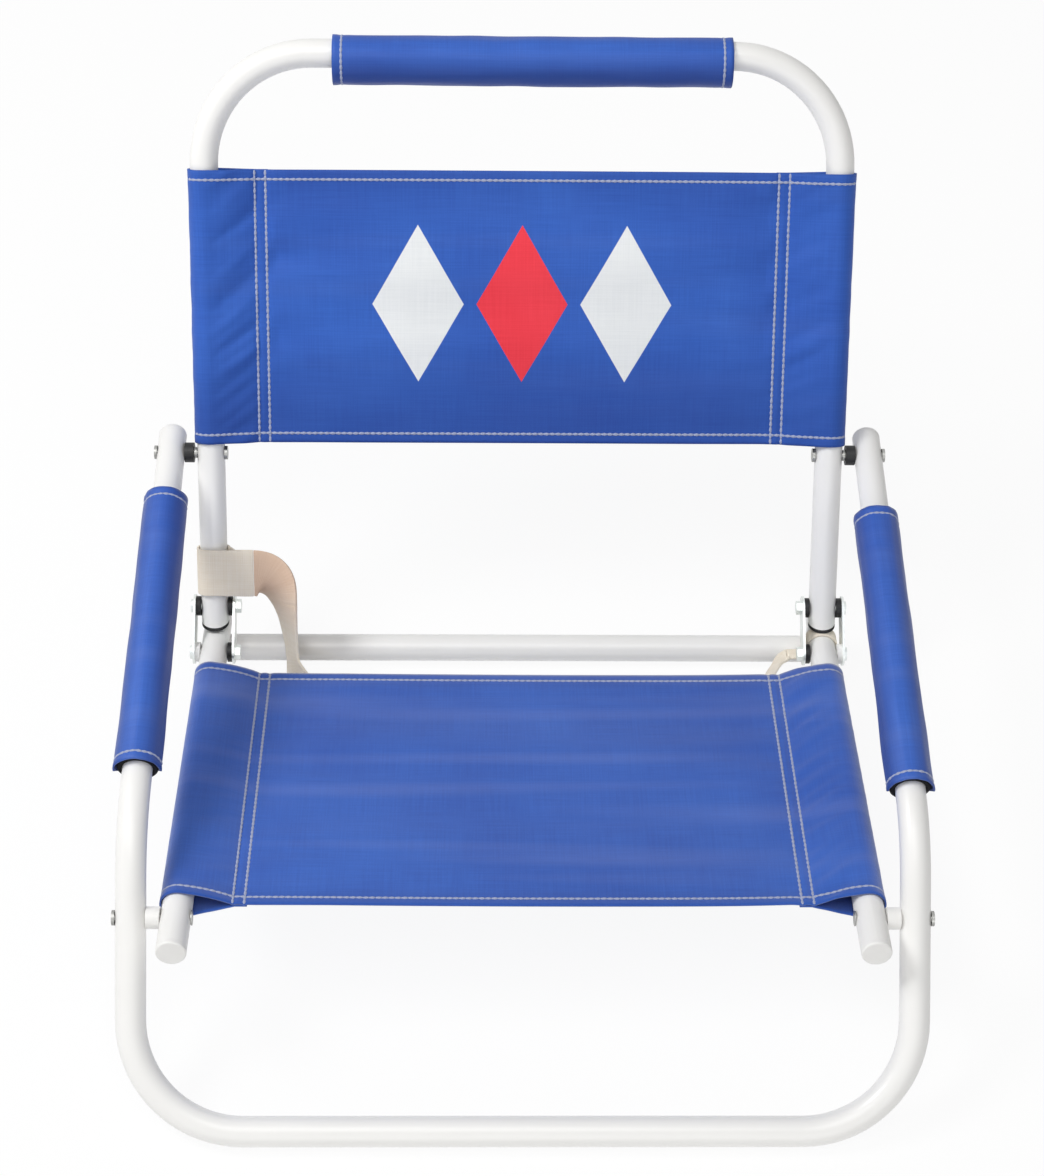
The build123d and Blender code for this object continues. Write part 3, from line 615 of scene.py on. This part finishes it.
def tautHeight(spec, size):
    # Level between the pockets, then straight up to the top of the tube
    if size < cutEdge:
        return cloth / 2 - spec["sag"] * (1 - (size / cutEdge) ** 2)
    if size < parting:
        return cloth / 2
    if size < touchX:
        return cloth / 2 + (touchY - cloth / 2) * (size - parting) / (touchX - parting)
    return sqrt(max(0.0, pocketRadius ** 2 - (size - sideX) ** 2))


def hemRise(spec, run):
    # A turned hem is double, and its stitches pull a groove
    edge = min(run, spec["length"] - run)
    fold = 0.5 * mm / (1 + exp((edge - hemWidth) / (0.8 * mm)))
    return fold - 0.45 * mm * bell(edge - hemRowIn, 1.5 * mm)


def wrinkle(kind, x, run, seed):
    timesAcross, timesAlong = wrinkles[kind]
    return noise.noise(Vector((x * timesAcross, run * timesAlong, seed)))


def slingHeight(spec, x, run):
    # Height over the tubes' middle plane, with slanting pulls on the pockets and soft bands between
    size = abs(x)
    seed = spec["seed"]
    pocket = spec["pockets"][-1 if x < 0 else 1]
    height = tautHeight(spec, size) + hemRise(spec, run)
    out = size - parting
    if out > 0:
        slant = run + pocket["lean"] * out
        pull = wrinkle("pull", x, slant, seed) + 0.7 * wrinkle("crinkle", x, slant, seed + 3)
        share = min(1.0, out / (sideX - parting))
        height += pull * pocket["ripple"] * 2 * (1 - share) * sqrt(share)
        height += spec["slack"] * sin(pi * share)
    inside = innerRow - size
    if inside > 0:
        nearSeam = exp(-inside / (46 * mm)) * min(1.0, inside / (8 * mm))
        offSeam = min(1.0, inside / (60 * mm))
        height += wrinkle("ripple", x, run, seed + 1) * spec["ripple"] * nearSeam
        height += wrinkle("band", x, run, seed + 5) * spec["bands"] * offSeam
        height += spec["dome"] * sin(pi * run / spec["length"]) * (1 - (size / innerRow) ** 4)
    groove = 0.5 * mm + 0.1 * mm * cos(run * tau / stitch["pitch"])
    for row in (innerRow, outerRow):
        height -= bell(size - row, 1.7 * mm) * groove
    return height + 0.4 * mm * bell(size - (innerRow + outerRow) / 2, 2.4 * mm)


def slingPoint(spec, x, run, height):
    return spec["start"] + spec["dir"] * run + across * x + spec["up"] * height


def between(start, end, count):
    return [start + (end - start) * k / count for k in range(1, count + 1)]


def halfSection(spec, sign, run):
    # The sheet's line from the chair's middle to its turned-under edge
    flatEnd, sewnEnd = cutEdge - 8 * mm, parting + 4 * mm
    stops = [0.0, *between(0, flatEnd, 44), *between(flatEnd, sewnEnd, 20), *between(sewnEnd, touchX, 14)]
    points = [(sign * x, slingHeight(spec, sign * x, run)) for x in stops]
    rise = points[-1][1] - touchY
    for share in between(0, 1, 26):
        turn = touchTurn * (1 - 2 * share)
        radius = pocketRadius + rise * (1 - share)
        points.append((sign * (sideX + radius * cos(turn)), radius * sin(turn)))
    underside = -0.55 * cloth
    for share in between(0, 1, 12):
        slack = noise.noise(Vector((share * 2.5, run * 18, spec["seed"] + 2 * sign))) * sin(pi * share)
        height = -touchY + (underside + touchY) * share + slack * 0.8 * mm
        points.append((sign * (touchX + (parting - touchX) * share), height))
    points += [(sign * x, underside) for x in between(parting, cutEdge, 4)]
    return points


def slingLine(spec, run):
    return halfSection(spec, -1, run)[:0:-1] + halfSection(spec, 1, run)


def seamRow(spec, x, lift):
    def place(distance):
        return slingPoint(spec, x, distance, slingHeight(spec, x, distance) + lift), spec["up"]
    return place, spec["length"]


def hemRow(spec, run, lift):
    # Along the hem from the outer side of one tube to the outer side of the other
    line = slingLine(spec, run)
    outermost = [k for k, spot in enumerate(line) if abs(spot[0]) > sideX + 0.9 * pocketRadius]
    first = max(k for k in outermost if line[k][0] < 0)
    last = min(k for k in outermost if line[k][0] > 0)
    line = line[first:last + 1]
    spans = [0.0]
    for spot, following in zip(line, line[1:]):
        spans.append(spans[-1] + hypot(following[0] - spot[0], following[1] - spot[1]))

    def place(distance):
        k = max(i for i in range(len(spans) - 1) if spans[i] <= distance)
        share = (distance - spans[k]) / (spans[k + 1] - spans[k])
        (x0, y0), (x1, y1) = line[k], line[k + 1]
        outward = (spec["up"] * (x1 - x0) - across * (y1 - y0)).normalized()
        point = slingPoint(spec, x0 + (x1 - x0) * share, run, y0 + (y1 - y0) * share)
        return point + outward * lift, outward
    return place, spans[-1]


def makeSling(spec):
    name, length = spec["name"], spec["length"]
    steps = round(length / (2.5 * mm))
    lines = [slingLine(spec, length * i / steps) for i in range(steps + 1)]
    halfway = lines[steps // 2]
    flatAcross = [0.0]
    for spot, following in zip(halfway, halfway[1:]):
        flatAcross.append(flatAcross[-1] + hypot(following[0] - spot[0], following[1] - spot[1]))
    width = flatAcross[-1]

    def place(column, row):
        x, height = lines[row][column]
        return slingPoint(spec, x, length * row / steps, height)

    def flat(column, row):
        return flatAcross[column] - width / 2, length * row / steps

    mesh = bendGrid(f"{name}_cloth", len(halfway) - 1, steps, place, flat)
    piece = finishPiece(f"{name}_cloth", mesh, spec["look"], "blue_canvas", [f"{name}_sling"])
    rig.ride(piece, name)
    thicken(piece, cloth)
    lift = cloth / 2 + 0.1 * mm
    rows = [seamRow(spec, sign * x, lift) for sign in (-1, 1) for x in (innerRow, outerRow)]
    rows += [hemRow(spec, run, lift) for run in (hemRowIn, length - hemRowIn)]
    stitches = sewRows(f"{name}_cloth_stitching", rows, name)
    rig.sheet(piece, flat=(width, length), held="stretched", rests_on=spec["tubes"], with_pieces=[stitches])
    print(name, "sling, flat", round(width, 3), "by", round(length, 3))


makeSling(seatSling)
makeSling(backSling)


# Sleeves and the foam inside them

def sleevePoint(spec, turn, run):
    # Cloth pulled over foam: soft creases round the sleeve, a hem at each end, and at the far end
    # an underside that has ridden up
    sideways, up = spec["axes"]
    edge = min(run, spec["length"] - run)
    crease = noise.noise(Vector((cos(turn) * 1.3, sin(turn) * 1.3 + spec["seed"], run * 30))) * 0.7 * mm
    lengthwise = noise.noise(Vector((cos(turn) * 3.5, sin(turn) * 3.5, run * 6 + spec["seed"]))) * 0.5 * mm
    hem = 0.35 * mm * bell(edge, 7 * mm) - 0.5 * mm * bell(edge - spec["stitchLine"], 1.8 * mm)
    radius = spec["radius"] - cloth / 2 - 0.4 * mm + crease + lengthwise + hem
    outward = sideways * cos(turn) + up * sin(turn)
    pulled = spec["pulled"] * max(0.0, -sin(turn)) * (run / spec["length"]) ** 8
    return spec["start"] + spec["dir"] * (run - pulled) + outward * radius, outward


def makeSleeve(spec):
    name, length = spec["name"], spec["length"]
    around, steps = 56, round(length / (3 * mm))
    girth = tau * spec["radius"]
    lift = cloth / 2 + 0.12 * mm

    def place(column, row):
        return sleevePoint(spec, tau * column / around, length * row / steps)[0]

    def flat(column, row):
        return girth * column / around, length * row / steps

    def ringRow(run):
        def place(distance):
            point, outward = sleevePoint(spec, distance / spec["radius"], run)
            return point + outward * lift, outward
        return place, girth

    def lengthRow(turn):
        def place(distance):
            point, outward = sleevePoint(spec, turn, distance)
            return point + outward * lift, outward
        return place, length

    mesh = bendGrid(name, around, steps, place, flat, rolled=True)
    piece = finishPiece(name, mesh, spec["look"], "blue_canvas", [spec["sleeveNode"]])
    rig.ride(piece, spec["body"])
    thicken(piece, cloth)
    rows = [ringRow(spec["stitchLine"]), ringRow(length - spec["stitchLine"]), lengthRow(spec["seamTurn"])]
    stitches = sewRows(f"{name}_stitching", rows, spec["body"])
    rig.sheet(piece, flat=(girth, length), held="stretched", rests_on=[spec["foam"]], with_pieces=[stitches])
    print(name, "flat", round(girth, 3), "by", round(length, 3))


def makeFoam(spec):
    # A foam tube spun from its cut outline, its bore round the steel and its skin under the sleeve
    recess, rim = 6 * mm, 1 * mm
    length = spec["length"] - recess - spec["farRecess"]
    outer = spec["radius"] - cloth - 1.3 * mm
    bore = tubeRadius + 0.15 * mm
    base = spec["start"] + spec["dir"] * recess
    outline = [(bore, 0), (outer - rim, 0), (outer, rim)]
    outline += [(radius, length - run) for radius, run in outline[::-1]]
    shape = bmesh.new()
    corners = []
    for radius, run in outline:
        corners.append(shape.verts.new(base + spec["dir"] * run + spec["axes"][1] * radius))
    edges = [shape.edges.new(pair) for pair in zip(corners, corners[1:] + corners[:1])]
    bmesh.ops.spin(
        shape, geom=corners + edges, cent=base, axis=spec["dir"], angle=tau, steps=48, use_merge=True
    )
    onTube = [v for v in shape.verts if spec["dir"].cross(v.co - base).length < bore + 0.1 * mm]
    bmesh.ops.translate(shape, verts=onTube, vec=spec["tubeShift"])
    mesh = closeShape(spec["foam"], shape)
    piece = finishPiece(spec["foam"], mesh, "foam", "black_foam", [spec["foamNode"]])
    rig.ride(piece, spec["body"])
    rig.padded(piece, fill=0.9)


for side, sign, slid in (("left", -1, 50 * mm), ("right", 1, 66 * mm)):
    armSleeve = {
        "name": f"arm_cloth_{side}",
        "foam": f"arm_padding_{side}",
        "sleeveNode": f"arm_sleeve_{side}",
        "foamNode": f"arm_foam_{side}",
        "body": "arms",
        "look": "armCanvas",
        "start": backPivot + across * (sign * armX) - armDir * slid,
        "dir": -armDir,
        "axes": (across, across.cross(armDir)),
        "length": 255 * mm,
        "radius": 17.6 * mm,
        "tubeShift": Vector(),
        "pulled": 12 * mm,
        "farRecess": 2 * mm,
        "stitchLine": 7 * mm,
        "seamTurn": -pi / 2,
        "seed": 2.0 + sign,
    }
    makeFoam(armSleeve)
    makeSleeve(armSleeve)
headrestLow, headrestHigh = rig.box("headrest_sleeve")
headrestZ = (headrestLow.z + headrestHigh.z) / 2
headrest = {
    "name": "headrest_cloth",
    "foam": "headrest_padding",
    "sleeveNode": "headrest_sleeve",
    "foamNode": "headrest_foam",
    "body": "back",
    "look": "headrestCanvas",
    "start": Vector((headrestLow.x, topBar.y, headrestZ)),
    "dir": across,
    "axes": (Vector((0, 1, 0)), upright),
    "length": headrestHigh.x - headrestLow.x,
    "radius": (headrestHigh.z - headrestLow.z) / 2,
    "tubeShift": Vector((0, 0, topBar.z - headrestZ)),
    "pulled": 0.0,
    "farRecess": 6 * mm,
    "stitchLine": 7 * mm,
    "seamTurn": -pi / 3,
    "seed": 6.3,
}
makeFoam(headrest)
makeSleeve(headrest)


# Carry strap

strap = {"width": 38 * mm, "slipped": 12 * mm, "thickness": 1.8 * mm, "clearance": 0.3 * mm}
leftLoop = {
    "side": "left",
    "sign": -1,
    "body": "back",
    "start": upperHinge + backDir * (12 * mm),
    "dir": backDir,
    "tailSide": backFront,
    "width": strap["width"],
    "layers": 2,
    "tail": 33 * mm,
}
rightLoop = {
    "side": "right",
    "sign": 1,
    "body": "seat",
    "start": lowerHinge + seatDir * (8.6 * mm),
    "dir": seatDir,
    "tailSide": -seatUp,
    "width": strap["slipped"],
    "layers": 1,
    "tail": 27 * mm,
}
strapRoute = [  # across, depth behind the front bar, height and width in millimetres, and roll in degrees
    (-206, 451.7, 92, 38, 55),
    (-196, 447, 84, 38, 65),
    (-190, 436.5, 66, 38, 75),
    (-186.5, 423, 44, 38, 78),
    (-184.5, 411, 29, 38, 80),
    (-181, 398, 20.5, 38, 70),
    (-174, 383, 14, 38, 42),
    (-163, 360, 5, 38, 12),
    (-146, 328, 1.4, 38, 0),
    (-112, 284, 1.4, 38, 0),
    (-58, 254, 1.4, 38, 0),
    (8, 244, 1.4, 38, 0),
    (74, 256, 1.4, 38, 0),
    (130, 288, 1.4, 38, 0),
    (166, 332, 1.4, 38, 0),
    (184, 361, 5, 38, -10),
    (196, 385, 12, 30, -36),
    (204, 401, 19, 23, -66),
    (211, 413, 24, 16, -52),
]


def loopMiddle(loop):
    return tubeRadius + strap["clearance"] + loop["layers"] * strap["thickness"] / 2


def tailEnd(loop):
    base = loop["start"] + loop["dir"] * (loop["width"] / 2) + loop["tailSide"] * loopMiddle(loop)
    return base + across * (loop["sign"] * (sideX - loop["tail"] - strap["clearance"]))


def smoothRoute(points):
    # A spline pulled by these points, read back as a row of points
    curve = bpy.data.curves.new("strap_route", "CURVE")
    curve.dimensions = "3D"
    curve.resolution_u = 8
    spline = curve.splines.new("NURBS")
    spline.points.add(len(points) - 1)
    for target, point in zip(spline.points, points):
        target.co = (*point, 1)
    spline.order_u = 3
    spline.use_endpoint_u = True
    holder = bpy.data.objects.new("strap_route", curve)
    scene.collection.objects.link(holder)
    bpy.context.view_layer.update()
    mesh = bpy.data.meshes.new_from_object(holder.evaluated_get(bpy.context.evaluated_depsgraph_get()))
    line = [vertex.co.copy() for vertex in mesh.vertices]
    bpy.data.objects.remove(holder)
    bpy.data.curves.remove(curve)
    bpy.data.meshes.remove(mesh)
    return line


def bandPiece(name, path, replaced, look="webbing"):
    # A flat band laid along a path of points, edge directions and widths, with its thickness made real
    lengths = [0.0]
    for here, following in zip(path, path[1:]):
        lengths.append(lengths[-1] + (following["point"] - here["point"]).length)
    rows = 8

    def place(column, row):
        here = path[column]
        return here["point"] + here["edge"] * (here["width"] * (row / rows - 0.5))

    def flat(column, row):
        return lengths[column], path[column]["width"] * row / rows

    mesh = bendGrid(name, len(path) - 1, rows, place, flat)
    piece = finishPiece(name, mesh, look, "cream_webbing", replaced)
    thicken(piece, strap["thickness"])
    soft = piece.modifiers.new("worn_edges", "BEVEL")
    soft.width = 0.5 * mm
    soft.segments = 2
    soft.limit_method = "ANGLE"
    soft.angle_limit = radians(50)
    bpy.context.view_layer.update()
    settled = bpy.data.meshes.new_from_object(piece.evaluated_get(bpy.context.evaluated_depsgraph_get()))
    piece.modifiers.clear()
    piece.data = settled
    return piece, lengths[-1]


def strapPath():
    stops = [Vector((stop[0] * mm, frontBar.y + stop[1] * mm, stop[2] * mm)) for stop in strapRoute]
    points = [tailEnd(leftLoop), *stops, tailEnd(rightLoop)]
    ends = [atan2(loop["dir"].z, loop["dir"].y) for loop in (leftLoop, rightLoop)]
    rolls = [ends[0], *[radians(stop[4]) for stop in strapRoute], ends[1]]
    widths = [strap["width"], *[stop[3] * mm for stop in strapRoute], strap["slipped"]]
    line = smoothRoute(points)
    spans = len(points) - 2
    stations = [0.0, *[k + 0.5 for k in range(spans)], float(spans)]

    def valueAt(values, place):
        k = max(i for i in range(len(stations) - 1) if stations[i] <= place)
        share = (place - stations[k]) / (stations[k + 1] - stations[k])
        return values[k] + (values[k + 1] - values[k]) * share

    path = []
    for i, point in enumerate(line):
        place = spans * i / (len(line) - 1)
        run = (line[min(i + 1, len(line) - 1)] - line[max(i - 1, 0)]).normalized()
        if i in (0, len(line) - 1):
            run = across
        level = upright.cross(run).normalized()
        roll = valueAt(rolls, place)
        edge = level * cos(roll) + run.cross(level) * sin(roll)
        path.append({"point": point, "edge": edge, "run": run, "width": valueAt(widths, place)})
    return path


def makeStrap():
    # The riser hangs from the back and the rest lies with the seat, so they part above the hinges
    path = strapPath()
    partHeight = 70 * mm
    part = next(k for k, here in enumerate(path) if here["point"].z < partHeight)
    spot, run = path[part]["point"], path[part]["run"]
    leaves = Vector((1, 0.3, -1)).normalized()
    reach = []
    for here in (path[0], path[part]):
        reach.append([(here["point"] + here["edge"] * (here["width"] * s)).dot(leaves) for s in (-0.5, 0.5)])
    # Both pieces take painted shade, brown near where each starts
    riser, riserLength = bandPiece("carry_webbing_riser", path[:part + 1], ["carry_strap"], "shadedWebbing")
    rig.blend(riser, "back", "links", start=leaves * max(reach[0]), end=leaves * min(reach[1]))
    lying, length = bandPiece("carry_webbing", path[part:], ["carry_strap"], "lowerWebbing")
    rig.blend(lying, "links", "seat", start=spot + run * (2 * mm), end=spot + run * (60 * mm))
    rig.cord(
        lying, exit=spot, length=length, diameter=strap["width"], far_end="object",
        stiffness="limp", lay="loose", path=[here["point"] for here in path[part:]],
    )
    print("carry strap", round(riserLength + length, 3), "m, of which", round(riserLength, 3), "m rise")


def makeLoop(loop):
    # Webbing out along the tail, round the tube, and where it is double, back under the tail
    side, sign, tail = loop["side"], loop["sign"], loop["tail"]
    base = loop["start"] + across * (sign * sideX) + loop["dir"] * (loop["width"] / 2)
    inward, front = across * -sign, loop["tailSide"]
    ring = tubeRadius + strap["clearance"] + strap["thickness"] / 2
    double = loop["layers"] > 1
    top = ring + (strap["thickness"] if double else 0.0)
    offsets = [inward * (tail * (1 - share)) + front * top for share in (0, *between(0, 1, 9))]
    around, early = 44, 10  # steps round the tube, and how much sooner a double layer leaves it
    for k in range(1, around - early if double else around):
        turn = tau * k / around
        reach = ring + (top - ring) * max(0.0, 1 - 3 * k / around)
        offsets.append((front * cos(turn) - inward * sin(turn)) * reach)
    if double:
        begin = offsets[-1]
        meets = inward * (0.55 * tail) + front * (ring - 0.1 * mm)
        offsets += [begin + (meets - begin) * share for share in between(0, 1, 8)]
        offsets += [meets + inward * (0.44 * tail * share) for share in between(0, 1, 4)]
    path = []
    for i, offset in enumerate(offsets):
        shift = loop["dir"] * (noise.noise(Vector((i * 0.1, sign * 5.0, 4.2))) * 0.9 * mm)
        path.append({"point": base + offset + shift, "edge": loop["dir"], "width": loop["width"]})
    piece, length = bandPiece(f"webbing_loop_{side}", path, [f"strap_loop_{side}"])
    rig.ride(piece, loop["body"])
    print(side, "loop", round(length, 3), "m of webbing")


makeStrap()
makeLoop(leftLoop)
makeLoop(rightLoop)


# Floor, light and camera

def seenDirectly(tree):
    # 1 for rays that see the background itself, or see it mirrored or through something clear
    path = addNode(tree, "LightPath")
    rays = {0: path.outputs["Is Camera Ray"], 1: path.outputs["Is Glossy Ray"]}
    straight = addNode(tree, "Math", rays, operation="MAXIMUM")
    return addNode(tree, "Math", {0: straight, 1: path.outputs["Is Transmission Ray"]}, operation="MAXIMUM")


def makeFloor():
    # Pale studio floor, mostly white to the eye, that keeps a soft shadow
    shape = bmesh.new()
    bmesh.ops.create_grid(shape, x_segments=1, y_segments=1, size=6)
    bmesh.ops.translate(shape, verts=shape.verts, vec=(0, 0, -0.5 * mm))
    mesh = closeShape("studio_floor", shape)
    material, tree = emptyMaterial("pale_floor")
    place = addNode(tree, "TexCoord").outputs["Object"]
    cloudy = addNode(tree, "TexNoise", {"Vector": place, "Scale": scaleOf(330), "Detail": 3.0})
    colour = addNode(tree, "Mix", {0: cloudy, 6: linear("#FBFBFA"), 7: linear("#FEFEFE")}, data_type="RGBA")
    sockets = {"Base Color": colour, "Roughness": 0.9, "Specular IOR Level": 0.1}
    shader = addNode(tree, "BsdfPrincipled", sockets)
    glow = addNode(tree, "Emission", {"Color": (1, 1, 1, 1), "Strength": 1.0})
    share = addNode(tree, "Math", {0: seenDirectly(tree), 1: 0.92}, operation="MULTIPLY")
    mixed = addNode(tree, "MixShader", {0: share, 1: shader, 2: glow})
    addNode(tree, "OutputMaterial", {"Surface": mixed})
    mesh.materials.append(material)
    floorPiece = bpy.data.objects.new("studio_floor", mesh)
    scene.collection.objects.link(floorPiece)
    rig.stage(floorPiece)


lights = [
    {"name": "left_key", "place": (-1.8, 0.2, 2.35), "target": (0, 0, 0.15), "size": 1.0, "power": 39},
    {"name": "top_softbox", "place": (-0.2, -0.8, 2.7), "target": (0, 0, 0.1), "size": 1.5, "power": 22},
    {"name": "low_fill", "place": (0.3, -2.5, 0.7), "target": (0, 0, 0.15), "size": 1.8, "power": 13},
]
surround = 0.26  # strength of the even light from all round


def makeLight():
    for spec in lights:
        data = bpy.data.lights.new(spec["name"], "AREA")
        data.shape = "DISK"
        data.size = spec["size"]
        data.energy = spec["power"]
        lamp = bpy.data.objects.new(spec["name"], data)
        scene.collection.objects.link(lamp)
        lamp.location = spec["place"]
        lamp.rotation_mode = "QUATERNION"
        lamp.rotation_quaternion = (Vector(spec["target"]) - lamp.location).to_track_quat("-Z", "Y")
    world = bpy.data.worlds.new("white_studio")
    scene.world = world
    world.use_nodes = True
    tree = world.node_tree
    tree.nodes.clear()
    soft = addNode(tree, "Background", {"Color": (1, 1, 1, 1), "Strength": surround})
    bright = addNode(tree, "Background", {"Color": (1, 1, 1, 1), "Strength": 1.0})
    mixed = addNode(tree, "MixShader", {0: seenDirectly(tree), 1: soft, 2: bright})
    addNode(tree, "OutputWorld", {"Surface": mixed})
    scene.view_settings.view_transform = "Standard"


camera = {
    "elevation": radians(50.34),
    "yaw": radians(1.62),
    "roll": radians(1.45),
    "distance": 1.84763,
    "target": Vector((0.0001, frontBar.y + 0.38329, 0.15742)),
    "focalPixels": 2400,
    "heightPixels": 1176,
}


def makeCamera():
    lift, yaw, roll = camera["elevation"], camera["yaw"], camera["roll"]
    forward = Vector((sin(yaw) * cos(lift), cos(yaw) * cos(lift), -sin(lift)))
    level = Vector((cos(yaw), -sin(yaw), 0))
    upward = level.cross(forward)
    right = level * cos(roll) + upward * sin(roll)
    data = bpy.data.cameras.new("photo_camera")
    data.sensor_fit = "VERTICAL"
    data.sensor_height = 36
    data.sensor_width = 36
    data.lens = 36 * camera["focalPixels"] / camera["heightPixels"]
    view = bpy.data.objects.new("photo_camera", data)
    scene.collection.objects.link(view)
    turned = Matrix((right, right.cross(forward), -forward)).transposed()
    view.matrix_world = Matrix.Translation(camera["target"] - forward * camera["distance"]) @ turned.to_4x4()
    scene.camera = view


makeFloor()
makeLight()
makeCamera()
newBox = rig.bounds()
with open("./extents.json", "w") as sizeFile:
    json.dump({"cad": [list(corner) for corner in cadBox], "visual": [list(corner) for corner in newBox]}, sizeFile)
print("scene ready")
